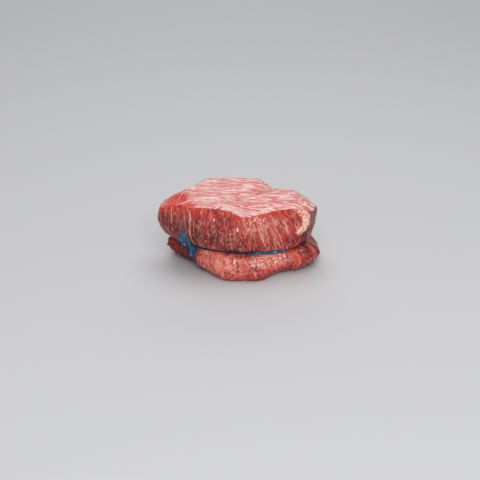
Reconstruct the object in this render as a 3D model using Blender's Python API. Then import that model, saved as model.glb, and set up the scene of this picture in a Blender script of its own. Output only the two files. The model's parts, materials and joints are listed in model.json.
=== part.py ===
"""A raw beef tenderloin steak, tied round its waist with butcher's string.

Metres, +Z up. X runs along the steak's long side, -Y is its front, and it lies on
its lower cut face with the fibres upright. The string cinches it into a thick upper
lobe and a thinner lower one, and ends at the front left in a small bow.
"""

import math

import bmesh
import bpy
from mathutils import Matrix, Vector, noise

MM = 0.001

# The upper cut face, seen from above: a main muscle and a lower one to its right,
# each an oval of (middle x, middle y, half width, half depth).
MAIN_MUSCLE = (-9.5, 0.2, 32.5, 27.8)
SIDE_MUSCLE = (17.5, -3.0, 24.0, 17.5)
OVAL_POWER = 2.4
STRING_POWER = 2.1
HALVINGS = 40
MERGE_SOFTNESS = 1.0

# Dents and swells of an outline: (angle, half width in degrees, outward mm).
# Angles run anticlockwise from +X, so the front is 270 degrees.
RIM_SWELLS = (
    (149, 26, -10.5),
    (156, 14, -3.4),
    (51, 15, -3.0),
    (124, 20, -1.6),
    (186, 14, 1.2),
    (208, 26, -5.4),
    (242, 26, -3.2),
    (275, 18, 2.0),
    (303, 18, 2.0),
    (60, 24, 1.8),
    (38, 6, -1.6),
    (28, 9, 1.6),
    (6, 16, -1.2),
)
UPPER_BELLY_SWELLS = ((193, 24, 1.2), (250, 40, 1.2), (295, 40, 1.2), (90, 60, 1.2))

# The lower lobe, with the hollow under the knot and the flat beside it.
LOWER_LOBE = (1.5, -0.5, 42.0, 29.5)
LOWER_SWELLS = (
    (203, 40, -13.5),
    (236, 24, -4.2),
    (168, 14, -0.4),
    (318, 30, -6.5),
    (350, 16, 0.6),
    (40, 24, -3.0),
    (120, 26, -2.5),
)
FOOT_INSET = 1.8
UNDERCUT_SHARE = 0.7
UNDERCUT_RISE = 0.35
FOOT_UNDERCUTS = ((180, 60, -14.0), (234, 28, -6.2), (340, 50, -9.0), (90, 60, -1.5))

# The string lies on one convex oval in a round groove, which opens so many degrees
# either side of outwards. Where the lower lobe is hollow, the groove's lower lip draws in.
STRING_LOOP = (1.5, 0.0, 35.5, 23.4)
STRING_SWELLS = ((348, 42, -2.6),)
STRING_RADIUS = 0.65
STRING_GAP = 0.42
GROOVE_OPENING = 60
GROOVE_SEGMENTS = 6
LIP_INSET = 0.5
LIP_SLOPE = 0.3
LEAST_WAIST = 1.5

# Heights above the foot that the steak lies on.
BELLY_HEIGHT = 4.6
BELLY_RISES = ((182, 55, 4.0), (230, 26, 2.5), (350, 45, 3.5))
SHOULDER_DROP = 2.4
SHOULDER_SHARE = 0.5
WAIST_HEIGHT = 14.4
WAIST_TILT = 1.5
WAIST_RISE_RIGHT = 3.0
RIGHT_END_COSINE = 0.8
UNDERSIDE_SHARE = 0.66
UNDERSIDE_RISE = 2.9
UNDERSIDE_CHANGES = ((212, 24, 1.0), (246, 24, -1.0), (340, 40, -1.6))
UPPER_BELLY_HEIGHT = 26.0
TOP_HEIGHT = 39.1

# The top falls towards both ends, each (start, run, fall), and the side muscle lies a
# little lower at its back. The front rim dips to a V: (x, reach to its left, reach to its
# right, depth). Its front leans down to the right. Beyond a bent line across the left end,
# from front to back, it steps down: (width of the step, drop at its front, drop at its back).
LEFT_FALL = (29.0, 15.0, 5.0)
RIGHT_FALL = (28.0, 15.0, 5.0)
SIDE_MUSCLE_DROP = 1.6
SIDE_DROP_X = (12.0, 10.0)
SIDE_DROP_Y = (-18.0, 26.0)
FRONT_DIP = (4.0, 11.0, 26.0, 3.4)
FRONT_DIP_Y = (-8.0, 17.0)
DIP_POWER = 1.3
FRONT_LEAN = 0.045
FRONT_LEAN_Y = (-1.0, 14.0)
FACET_LINE = (Vector((-24.0, -18.0)), Vector((-30.5, 2.0)), Vector((-21.0, 20.0)))
FACET_STEP = (2.6, 1.7, 2.2)

# A seam between the two muscles crosses the top as a shallow step and crease.
SEAM_FRONT_Y = -12.0
SEAM_BACK_Y = 13.5
SEAM_START_X = -8.0
SEAM_END_X = 19.0
SEAM_STEP = 0.3
SEAM_DEPTH = 0.25
SEAM_WIDTH = 2.6

# Mesh resolution: meridians round the steak, and rings along each stretch of a meridian.
MERIDIANS = 104
FOOT_RINGS = 3
FOOT_SPACING = 0.8
LOWER_STEPS = (3, 2, 3, 3)
UPPER_STEPS = (4, 5, 5)
TOP_RINGS = 13
FIRST_TOP_RING = 0.35
RIM_ROUNDING = 1.1
RIM_INSET = 0.55
RIM_DROP = 0.33

# Relief of the muscle: upright bundles on the walls, low swells on the cut face, and
# torn lumps at the left end of the lower lobe. It fades out at the foot and by the string.
BUNDLE_PITCH = 5.5
BUNDLE_STRETCH = (1.0, 1.0, 0.16)
BUNDLE_RELIEF = 0.7
TOP_BUNDLES = 0.3
TOP_SWELLS = 0.45
SWELL_PITCH = 11.0
SWELL_STRETCH = (0.55, 1.0, 0.7)
SWELL_RELIEF = 0.8
RELIEF_FROM_FOOT = 6.0
RELIEF_FROM_STRING = 3.0
CRAG_PITCH = 3.6
CRAG_RELIEF = 1.7
CRAG_ANGLE = 172.0
CRAG_SPREAD = 34.0

# The bow: its knot, an ear that lies up against the upper lobe and one that hangs.
KNOT_ANGLE = 215.0
KNOT_SIZE = (1.9, 1.7, 1.8)
KNOT_OUT = 0.8
KNOT_POCKET = ((215, 9, 1.6),)
UPPER_EAR = (
    (0.0, 0.0, 0.0),
    (-0.8, -2.0, 1.6),
    (-1.7, -3.8, 3.8),
    (-3.1, -5.0, 6.1),
    (-4.4, -5.4, 9.4),
    (-5.0, -4.2, 8.0),
    (-5.2, -2.4, 4.3),
    (-4.6, -1.0, 2.0),
    (-3.1, -0.5, 1.1),
    (-1.4, -0.2, 0.5),
    (0.0, 0.0, 0.0),
)
LOWER_EAR = (
    (0.2, 0.0, 0.2),
    (-0.1, -0.7, -1.7),
    (-0.5, -0.9, -3.7),
    (0.0, -1.0, -5.2),
    (0.9, -1.0, -5.1),
    (1.2, -0.9, -3.5),
    (1.0, -0.7, -1.7),
    (0.2, -0.2, 0.0),
)
EAR_STEPS = 4
LOOP_POINTS = 84
STRING_BEVEL = 2
KNOT_SUBDIVISIONS = 2

MEAT_COLOUR = (0.42, 0.075, 0.06, 1.0)
MEAT_ROUGHNESS = 0.35
STRING_COLOUR = (0.01, 0.16, 0.33, 1.0)
STRING_ROUGHNESS = 0.7


def smooth(value):
    """0 below 0, 1 above 1, and an S curve between."""
    t = min(1.0, max(0.0, value))
    return t * t * (3.0 - 2.0 * t)


def swell(angle, swells):
    """The sum of the swells at an angle in degrees, in mm."""
    total = 0.0
    for centre, half_width, amount in swells:
        away = abs((angle - centre + 180.0) % 360.0 - 180.0)
        if away < half_width:
            total += amount * (0.5 + 0.5 * math.cos(math.pi * away / half_width))
    return total


def oval_reach(angle, oval, power=OVAL_POWER):
    """How far a ray from the axis goes before it leaves an oval that holds the axis."""
    x, y, half_width, half_depth = oval
    turn = math.radians(angle)
    along = (math.cos(turn), math.sin(turn))
    low, high = 0.0, 2.0 * (half_width + half_depth)
    for _ in range(HALVINGS):
        reach = 0.5 * (low + high)
        across = abs((along[0] * reach - x) / half_width) ** power
        deep = abs((along[1] * reach - y) / half_depth) ** power
        if across + deep < 1.0:
            low = reach
        else:
            high = reach
    return low


def rim_reach(angle):
    """The upper rim: both muscles, merged with a soft notch between them."""
    main = oval_reach(angle, MAIN_MUSCLE) / MERGE_SOFTNESS
    side = oval_reach(angle, SIDE_MUSCLE) / MERGE_SOFTNESS
    top = max(main, side)
    merged = top + math.log(math.exp(main - top) + math.exp(side - top))
    return merged * MERGE_SOFTNESS + swell(angle, RIM_SWELLS)


def lower_reach(angle):
    return oval_reach(angle, LOWER_LOBE) + swell(angle, LOWER_SWELLS)


def string_reach(angle):
    return oval_reach(angle, STRING_LOOP, STRING_POWER) + swell(angle, STRING_SWELLS)


def towards_right(angle):
    """1 at the right-hand end, 0 from the front round the left to the back."""
    cosine = math.cos(math.radians(angle))
    return smooth((cosine - RIGHT_END_COSINE) / (1.0 - RIGHT_END_COSINE))


def waist_height(angle):
    lean = WAIST_TILT * math.cos(math.radians(angle))
    return WAIST_HEIGHT - lean + WAIST_RISE_RIGHT * towards_right(angle)


def facet_drop(x, y):
    """How far the left end's facet lies below the main muscle's face."""
    width, front_drop, back_drop = FACET_STEP
    place = Vector((x, y))
    beyond = []
    for start, end in zip(FACET_LINE, FACET_LINE[1:]):
        run = (end - start).normalized()
        beyond.append(run.x * (place - start).y - run.y * (place - start).x)
    front, corner = FACET_LINE[:2]
    share = smooth((place.y - front.y) / (corner.y - front.y))
    return (front_drop + (back_drop - front_drop) * share) * smooth(max(beyond) / width)


def top_height(x, y):
    """The upper cut face over a point of the plan."""
    height = TOP_HEIGHT
    height -= LEFT_FALL[2] * smooth((-x - LEFT_FALL[0]) / LEFT_FALL[1])
    height -= RIGHT_FALL[2] * smooth((x - RIGHT_FALL[0]) / RIGHT_FALL[1])
    side = smooth((x - SIDE_DROP_X[0]) / SIDE_DROP_X[1])
    height -= SIDE_MUSCLE_DROP * side * smooth((y - SIDE_DROP_Y[0]) / SIDE_DROP_Y[1])
    dip_x, dip_left, dip_right, dip_depth = FRONT_DIP
    reach = dip_left if x < dip_x else dip_right
    dip = max(0.0, 1.0 - abs(x - dip_x) / reach) ** DIP_POWER
    height -= dip_depth * dip * smooth((FRONT_DIP_Y[0] - y) / FRONT_DIP_Y[1])
    height -= FRONT_LEAN * (x - dip_x) * smooth((FRONT_LEAN_Y[0] - y) / FRONT_LEAN_Y[1])
    height -= facet_drop(x, y)
    share = min(1.0, max(0.0, (x - SEAM_START_X) / (SEAM_END_X - SEAM_START_X)))
    rise = SEAM_BACK_Y - SEAM_FRONT_Y
    slope = 2.0 * rise * share / (SEAM_END_X - SEAM_START_X)
    behind = (y - SEAM_FRONT_Y - rise * share * share) / math.sqrt(1.0 + slope * slope)
    height -= SEAM_STEP * (1.0 - smooth(behind / SEAM_WIDTH + 0.5))
    return height - SEAM_DEPTH * math.exp(-((behind / SEAM_WIDTH) ** 2))


def relief(point, bundles, swells):
    """How far the muscle stands out at a point in mm, from shares of its bundles and low swells."""
    bundle = noise.noise(point * Vector(BUNDLE_STRETCH) / BUNDLE_PITCH)
    low = noise.noise(point * Vector(SWELL_STRETCH) / SWELL_PITCH)
    return bundles * BUNDLE_RELIEF * bundle + swells * SWELL_RELIEF * low


def crag(point, angle, knee):
    """How far the torn lumps stand out at a point in mm, below the waist only."""
    away = abs((angle - CRAG_ANGLE + 180.0) % 360.0 - 180.0)
    level = point.z / knee
    if away > CRAG_SPREAD or level >= 1.0:
        return 0.0
    strength = CRAG_RELIEF * math.cos(0.5 * math.pi * away / CRAG_SPREAD) * 4.0 * level * (1.0 - level)
    return strength * noise.noise(point / CRAG_PITCH)


def through(points, steps):
    """A Catmull-Rom curve through points, with so many steps along each stretch."""
    first = points[0] * 2.0 - points[1]
    last = points[-1] * 2.0 - points[-2]
    held = [first, *points, last]
    curve = []
    for i, count in enumerate(steps):
        a, b, c, d = held[i : i + 4]
        for k in range(count):
            t = k / count
            curve.append(
                0.5
                * (
                    b * 2.0
                    + (c - a) * t
                    + (a * 2.0 - b * 5.0 + c * 4.0 - d) * t * t
                    + (b * 3.0 - a - c * 3.0 + d) * t * t * t
                )
            )
    curve.append(points[-1].copy())
    return curve


def wall_profile(angle):
    """(reach, height) in mm up the side, from the foot to the upper rim."""
    lower = lower_reach(angle)
    rim = rim_reach(angle)
    string = string_reach(angle)
    foot = lower - FOOT_INSET + swell(angle, FOOT_UNDERCUTS)
    belly_height = BELLY_HEIGHT + swell(angle, BELLY_RISES)
    knee = waist_height(angle)
    underside = UNDERSIDE_RISE + swell(angle, UNDERSIDE_CHANGES)
    turn = math.radians(angle)
    rim_top = top_height(rim * math.cos(turn), rim * math.sin(turn))
    belly = rim + swell(angle, UPPER_BELLY_SWELLS)
    groove = STRING_RADIUS + STRING_GAP + swell(angle, KNOT_POCKET)
    below = min(string, lower - LEAST_WAIST)
    lower_lobe = [
        Vector((foot, 0.0)),
        Vector((foot + UNDERCUT_SHARE * (lower - foot), UNDERCUT_RISE * belly_height)),
        Vector((lower, belly_height)),
        Vector((below + SHOULDER_SHARE * (lower - below), knee - SHOULDER_DROP)),
    ]
    seat = []
    for k in range(GROOVE_SEGMENTS + 1):
        turned = math.radians(-GROOVE_OPENING - k * (360 - 2 * GROOVE_OPENING) / GROOVE_SEGMENTS)
        reach = string + groove * math.cos(turned)
        if k <= GROOVE_SEGMENTS / 2:
            reach = min(reach, lower - LIP_INSET - LIP_SLOPE * k)
        seat.append(Vector((reach, knee + groove * math.sin(turned))))
    upper_lobe = [
        Vector((string + UNDERSIDE_SHARE * (belly - string), knee + underside)),
        Vector((belly, UPPER_BELLY_HEIGHT)),
        Vector((rim, rim_top - RIM_ROUNDING)),
    ]
    steps = [*LOWER_STEPS, *([1] * GROOVE_SEGMENTS), *UPPER_STEPS]
    return through(lower_lobe + seat + upper_lobe, steps)


def meridian(angle):
    """Every ring's point at one angle, from the middle of the foot to the middle of the top."""
    turn = math.radians(angle)
    outwards = Vector((math.cos(turn), math.sin(turn), 0.0))
    wall = wall_profile(angle)
    foot = wall[0].x
    knee = waist_height(angle)
    points = [outwards * foot * (k / FOOT_RINGS) ** FOOT_SPACING for k in range(1, FOOT_RINGS)]
    for reach, height in wall:
        place = outwards * reach + Vector((0.0, 0.0, max(0.0, height)))
        grown = smooth(height / RELIEF_FROM_FOOT)
        grown *= 1.0 - math.exp(-(((height - knee) / RELIEF_FROM_STRING) ** 2))
        points.append(place + outwards * (relief(place, grown, grown) + crag(place, angle, knee)))
    rim = rim_reach(angle)
    reaches = [rim - RIM_INSET]
    for k in range(1, TOP_RINGS):
        reaches.append(rim * (1.0 - (k + FIRST_TOP_RING) / (TOP_RINGS + FIRST_TOP_RING)))
    for k, reach in enumerate(reaches):
        place = outwards * reach
        place.z = top_height(place.x, place.y) - (RIM_DROP if k == 0 else 0.0)
        points.append(place + Vector((0.0, 0.0, relief(place, TOP_BUNDLES, TOP_SWELLS))))
    return points


def steak_mesh():
    """The meat: meridians bridged all round, with one point at each pole."""
    columns = [meridian(360.0 * i / MERIDIANS) for i in range(MERIDIANS)]
    shape = bmesh.new()
    rings = []
    for row in zip(*columns):
        rings.append([shape.verts.new(point * MM) for point in row])
    foot = shape.verts.new((0.0, 0.0, 0.0))
    crown_height = top_height(0.0, 0.0)
    crown_height += relief(Vector((0.0, 0.0, crown_height)), TOP_BUNDLES, TOP_SWELLS)
    crown = shape.verts.new((0.0, 0.0, crown_height * MM))
    for i in range(MERIDIANS):
        j = (i + 1) % MERIDIANS
        shape.faces.new((foot, rings[0][j], rings[0][i]))
        shape.faces.new((crown, rings[-1][i], rings[-1][j]))
        for lower, upper in zip(rings, rings[1:]):
            shape.faces.new((lower[i], lower[j], upper[j], upper[i]))
    mesh = bpy.data.meshes.new("steak")
    shape.to_mesh(mesh)
    shape.free()
    return mesh


def finish(name, colour, roughness):
    """A plain material with the part's colour and shine."""
    material = bpy.data.materials.new(name)
    material.use_nodes = True
    shader = material.node_tree.nodes["Principled BSDF"]
    shader.inputs["Base Color"].default_value = colour
    shader.inputs["Roughness"].default_value = roughness
    shader.inputs["Metallic"].default_value = 0.0
    return material


def add_object(name, mesh, material):
    obj = bpy.data.objects.new(name, mesh)
    bpy.context.scene.collection.objects.link(obj)
    mesh.materials.clear()
    mesh.materials.append(material)
    return obj


def tube(name, points, closed):
    """A round string along points in mm, as a mesh object."""
    curve = bpy.data.curves.new(name, "CURVE")
    curve.dimensions = "3D"
    curve.bevel_depth = STRING_RADIUS * MM
    curve.bevel_resolution = STRING_BEVEL
    curve.use_fill_caps = not closed
    spline = curve.splines.new("POLY")
    spline.points.add(len(points) - 1)
    for held, point in zip(spline.points, points):
        held.co = (*(point * MM), 1.0)
    spline.use_cyclic_u = closed
    drawn = bpy.data.objects.new(name, curve)
    bpy.context.scene.collection.objects.link(drawn)
    bpy.context.view_layer.update()
    graph = bpy.context.evaluated_depsgraph_get()
    mesh = bpy.data.meshes.new_from_object(drawn.evaluated_get(graph))
    bpy.data.objects.remove(drawn)
    obj = bpy.data.objects.new(name, mesh)
    bpy.context.scene.collection.objects.link(obj)
    return obj


def loop_point(angle):
    turn = math.radians(angle)
    reach = string_reach(angle)
    return Vector((reach * math.cos(turn), reach * math.sin(turn), waist_height(angle)))


def knot_middle():
    turn = math.radians(KNOT_ANGLE)
    return loop_point(KNOT_ANGLE) + Vector((math.cos(turn), math.sin(turn), 0.0)) * KNOT_OUT


def ear(name, offsets):
    """One ear of the bow, from its few points, as a tube that starts and ends in the knot."""
    held = [knot_middle() + Vector(offset) for offset in offsets]
    return tube(name, through(held, [EAR_STEPS] * (len(held) - 1)), closed=False)


def knot():
    """The tight knot: a slightly flattened ball round the crossing."""
    shape = bmesh.new()
    bmesh.ops.create_icosphere(shape, subdivisions=KNOT_SUBDIVISIONS, radius=1.0)
    middle = knot_middle()
    place = Matrix.Translation(middle * MM) @ Matrix.Diagonal((*(Vector(KNOT_SIZE) * MM), 1.0))
    bmesh.ops.transform(shape, matrix=place, verts=shape.verts)
    mesh = bpy.data.meshes.new("knot")
    shape.to_mesh(mesh)
    shape.free()
    obj = bpy.data.objects.new("knot", mesh)
    bpy.context.scene.collection.objects.link(obj)
    return obj


def tied_string(material):
    """The loop, the knot and both ears, fused into one solid."""
    round_steak = [loop_point(360.0 * i / LOOP_POINTS) for i in range(LOOP_POINTS)]
    loop = tube("string", round_steak, closed=True)
    rest = bpy.data.collections.new("bow")
    bpy.context.scene.collection.children.link(rest)
    for piece in (knot(), ear("upper_ear", UPPER_EAR), ear("lower_ear", LOWER_EAR)):
        bpy.context.scene.collection.objects.unlink(piece)
        rest.objects.link(piece)
    union = loop.modifiers.new("fuse", "BOOLEAN")
    union.operation = "UNION"
    union.operand_type = "COLLECTION"
    union.collection = rest
    union.solver = "EXACT"
    bpy.context.view_layer.update()
    graph = bpy.context.evaluated_depsgraph_get()
    fused = bpy.data.meshes.new_from_object(loop.evaluated_get(graph))
    for piece in [loop, *rest.objects]:
        bpy.data.objects.remove(piece)
    bpy.data.collections.remove(rest)
    fused.shade_smooth()
    return add_object("string", fused, material)


def centre_on_base(objects):
    """Moves the meshes so that the whole stands on z = 0, with the origin under its middle."""
    corners = [vertex.co for obj in objects for vertex in obj.data.vertices]
    low = [min(co[k] for co in corners) for k in range(3)]
    high = [max(co[k] for co in corners) for k in range(3)]
    shift = Matrix.Translation((-(low[0] + high[0]) / 2, -(low[1] + high[1]) / 2, -low[2]))
    for obj in objects:
        obj.data.transform(shift)


def main():
    for obj in list(bpy.data.objects):
        bpy.data.objects.remove(obj)
    mesh = steak_mesh()
    mesh.shade_smooth()
    steak = add_object("steak", mesh, finish("raw_beef", MEAT_COLOUR, MEAT_ROUGHNESS))
    string = tied_string(finish("blue_string", STRING_COLOUR, STRING_ROUGHNESS))
    centre_on_base((steak, string))


main()
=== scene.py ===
"""The finish of a raw beef tenderloin steak that is tied round its waist with blue string.

Laid out as a Blender add-on: the meat, the string and the stage each have their settings and
one operator. Lengths are in millimetres unless a name says otherwise, and angles run
anticlockwise from +X round the steak's upright axis, so its front is at 270 degrees.
"""

import json
import math
import random
from types import SimpleNamespace

import bmesh
import bpy
import numpy as np
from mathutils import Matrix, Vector, noise

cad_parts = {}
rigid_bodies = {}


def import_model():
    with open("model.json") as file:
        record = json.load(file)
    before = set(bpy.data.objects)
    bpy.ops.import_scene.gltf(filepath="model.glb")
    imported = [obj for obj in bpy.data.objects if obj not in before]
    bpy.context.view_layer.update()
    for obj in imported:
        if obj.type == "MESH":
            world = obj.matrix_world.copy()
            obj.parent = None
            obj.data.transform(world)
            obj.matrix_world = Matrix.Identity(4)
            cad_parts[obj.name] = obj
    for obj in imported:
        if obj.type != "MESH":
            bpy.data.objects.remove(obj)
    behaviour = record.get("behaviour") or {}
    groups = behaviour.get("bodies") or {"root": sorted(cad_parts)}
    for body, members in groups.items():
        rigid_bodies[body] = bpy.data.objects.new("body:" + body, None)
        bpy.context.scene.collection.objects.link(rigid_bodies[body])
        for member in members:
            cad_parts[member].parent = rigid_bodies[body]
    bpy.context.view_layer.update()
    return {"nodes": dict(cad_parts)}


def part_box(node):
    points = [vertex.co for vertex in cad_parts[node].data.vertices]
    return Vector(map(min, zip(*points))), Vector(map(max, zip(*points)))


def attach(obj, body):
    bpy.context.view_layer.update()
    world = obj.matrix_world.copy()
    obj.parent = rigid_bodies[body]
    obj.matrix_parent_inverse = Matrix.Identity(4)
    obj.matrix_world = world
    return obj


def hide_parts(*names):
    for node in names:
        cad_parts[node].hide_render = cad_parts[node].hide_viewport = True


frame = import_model()

bl_info = {
    "name": "Tied raw beef steak",
    "version": (1, 0, 0),
    "blender": (4, 5, 0),
    "location": "View3D > Sidebar > Steak",
    "description": "Dresses a tenderloin steak: marbled raw meat, twisted string and a plain stage",
    "category": "Object",
}

MM = 0.001
SEED = 41

# The string's loop: half width and half depth of its oval, and where its middle lies from
# the steak's axis. Its knot sits at the front left.
LOOP_HALF_WIDTH = 35.5
LOOP_HALF_DEPTH = 23.4
LOOP_POWER = 2.1
LOOP_OFFSET = 1.5
LOOP_DENT = (348.0, 42.0, 2.6)
STRING_RADIUS = 0.65
WAIST_HEIGHT = 14.4
WAIST_TILT = 1.5
WAIST_RISE_RIGHT = 3.0
RIGHT_END_COSINE = 0.8
KNOT_ANGLE = 215.0
KNOT_OUT = 0.8
UPPER_EAR = (
    (0.0, 0.0, 0.0),
    (-0.8, -2.0, 1.6),
    (-1.7, -3.8, 3.8),
    (-3.1, -5.0, 6.1),
    (-4.4, -5.4, 9.4),
    (-5.0, -4.2, 8.0),
    (-5.2, -2.4, 4.3),
    (-4.6, -1.0, 2.0),
    (-3.1, -0.5, 1.1),
    (-1.4, -0.2, 0.5),
    (0.0, 0.0, 0.0),
)
LOWER_EAR = (
    (0.2, 0.0, 0.2),
    (-0.1, -0.7, -1.7),
    (-0.5, -0.9, -3.7),
    (0.0, -1.0, -5.2),
    (0.9, -1.0, -5.1),
    (1.2, -0.9, -3.5),
    (1.0, -0.7, -1.7),
    (0.2, -0.2, 0.0),
)

STRING_LOW, STRING_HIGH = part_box("string")
AXIS_X = STRING_LOW.x / MM + LOOP_HALF_WIDTH + STRING_RADIUS - LOOP_OFFSET
AXIS_Y = STRING_HIGH.y / MM - LOOP_HALF_DEPTH - STRING_RADIUS
AXIS = Vector((AXIS_X, AXIS_Y, 0.0))


def display(red, green, blue):
    """A colour given as 0 to 255 on a screen, as the linear colour that a shader takes."""
    shares = [value / 255.0 for value in (red, green, blue)]
    linear = [s / 12.92 if s <= 0.04045 else ((s + 0.055) / 1.055) ** 2.4 for s in shares]
    return (*linear, 1.0)


def colour_setting(name, description, default):
    """A colour that the user can change."""
    return bpy.props.FloatVectorProperty(
        name=name,
        description=description,
        subtype="COLOR",
        size=4,
        min=0.0,
        max=1.0,
        default=default,
    )


def smooth(values):
    """0 below 0, 1 above 1, and an S curve between, for a number or an array."""
    t = np.clip(values, 0.0, 1.0)
    return t * t * (3.0 - 2.0 * t)


def bump_at(values, middle, half_width):
    """1 at the middle, falling to 0 a half width away on both sides."""
    return smooth(1.0 - np.abs(values - middle) / half_width)


def turn_apart(angles, middle):
    """Signed degrees from one angle to others, the short way round."""
    return (angles - middle + 180.0) % 360.0 - 180.0


def grain(places, pitch, stretch=(1.0, 1.0, 1.0), offset=0.0):
    """Smooth noise between -1 and 1 at places in mm, with bumps about one pitch apart."""
    scaled = places * (np.array(stretch) / pitch) + offset
    return np.array([noise.noise(point) for point in scaled.tolist()])


def loop_reach(angle):
    """How far the string's middle line is from the axis at an angle in degrees."""
    turn = math.radians(angle)
    along = (math.cos(turn), math.sin(turn))
    low, high = 0.0, 2.0 * LOOP_HALF_WIDTH
    for _ in range(40):
        reach = 0.5 * (low + high)
        across = abs((along[0] * reach - LOOP_OFFSET) / LOOP_HALF_WIDTH) ** LOOP_POWER
        deep = abs(along[1] * reach / LOOP_HALF_DEPTH) ** LOOP_POWER
        if across + deep < 1.0:
            low = reach
        else:
            high = reach
    middle, half_width, depth = LOOP_DENT
    away = abs((angle - middle + 180.0) % 360.0 - 180.0)
    dent = 0.5 + 0.5 * math.cos(math.pi * min(1.0, away / half_width))
    return low - depth * dent


def waist_height(angles):
    """The height of the string's middle line at angles in degrees."""
    cosine = np.cos(np.radians(angles))
    rise = WAIST_RISE_RIGHT * smooth((cosine - RIGHT_END_COSINE) / (1.0 - RIGHT_END_COSINE))
    return WAIST_HEIGHT - WAIST_TILT * cosine + rise


def deselect_all():
    """Leaves nothing selected and nothing active."""
    for obj in bpy.context.view_layer.objects:
        obj.select_set(False)
    bpy.context.view_layer.objects.active = None


def make_active(obj):
    """Makes one object the only selected one."""
    deselect_all()
    obj.select_set(True)
    bpy.context.view_layer.objects.active = obj


# Meat: its shape

VOXEL = 0.46
SMOOTH_STEPS = 3
NORMAL_ROUNDS = 4
CUT_ROUNDS = 5

# Fibres on the walls: those at the front right lean by so much a millimetre of height, from
# one angle on and over a run in degrees, and fade out so far from a middle angle.
STREAK_LEAN = 0.36
LEAN_FROM = 262.0
LEAN_RUN = 14.0
LEAN_MIDDLE = 300.0
LEAN_REACH = 150.0
LEAN_FADE = 60.0
# Away from the front they run straight down the walls: middle, reach and fade in degrees.
FRONT_MIDDLE = 259.0
FRONT_REACH = 68.0
FRONT_FADE = 16.0
# How far the finish's pattern is drawn out along the fibres and the knife's strokes.
GRAIN_STRETCH = 0.14
STROKE_STRETCH = 0.2
# The knife's strokes slope and bend across the main muscle. On the smaller one they fan out
# from a point in front of it, from one x on and over a run, and blend over so many mm of the
# seam.
STROKE_SLOPE = 0.16
STROKE_BEND = 0.004
FAN_CENTRE = (-13.0, -13.0)
FAN_WIDTH = 26.0
FAN_SHIFT = 15.5
FAN_FROM_X = -14.0
FAN_RUN = 16.0
FAN_BLEND = 5.0
# A face counts as cut where the upright share of its direction passes this value, over a run,
# and the upper one lies above a height.
FLAT_FROM = 0.6
FLAT_RUN = 0.25
CUT_FROM_HEIGHT = 27.0
# Each kind of relief: height in mm or as a share, pitch in mm, stretch, and place in the noise.
RELIEF = {
    "bundles": (1.0, 2.3, (1.0, 1.0, 0.15), 0.0),
    "threads": (0.6, 1.1, (1.0, 1.0, 0.25), 31.0),
    "crumple": (0.18, 1.7, (1.0, 1.0, 0.8), 57.0),
    "folds": (0.6, 4.2, (1.0, 1.0, 0.3), 11.0),
    "tears": (1.2, 2.2, (1.0, 1.0, 1.0), 83.0),
    "small tears": (0.72, 1.2, (1.0, 1.0, 1.0), 7.0),
    "nicks": (0.45, 1.6, (1.0, 1.0, 0.5), 19.0),
    "strokes": (1.0, 3.4, (1.0, 0.2, 1.0), 3.0),
    "fine strokes": (0.6, 1.7, (1.0, 0.25, 1.0), 71.0),
    "pits": (0.1, 1.5, (1.0, 1.0, 1.0), 23.0),
    "rim": (0.5, 1.5, (1.0, 1.0, 1.0), 47.0),
    "wet spots": (1.2, 3.0, (1.0, 1.0, 1.0), 13.0),
}
# How far streaks and fat stand out, in mm, and from which height on the rim is nicked.
STREAK_RELIEF = 0.25
FAT_RELIEF = 0.3
NICKS_FROM = 30.0
# The walls' relief starts so far from the string's line and fades in over so many mm, and it
# fades in over so many mm above the foot.
STRING_MARGIN = 1.2
STRING_FADE = 2.2
FOOT_FADE = 2.5
# The torn left end of the lower lobe, and the flap at the right: middle angle and half width,
# and for the flap also its middle height and half height.
TORN_END = (176.0, 40.0)
TORN_FROM_X = -31.0
FLAP = (355.0, 6.0, 31.0, 5.0)

# The crease between the two muscles on the upper cut face.
SEAM_FRONT_Y = -12.0
SEAM_BACK_Y = 13.5
SEAM_START_X = -8.0
SEAM_END_X = 19.0
SEAM_CREASE = 0.2
SEAM_CREASE_WIDTH = 0.8
SEAM_CREASE_FROM = -19.0
SEAM_CREASE_TO = 24.0

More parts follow.
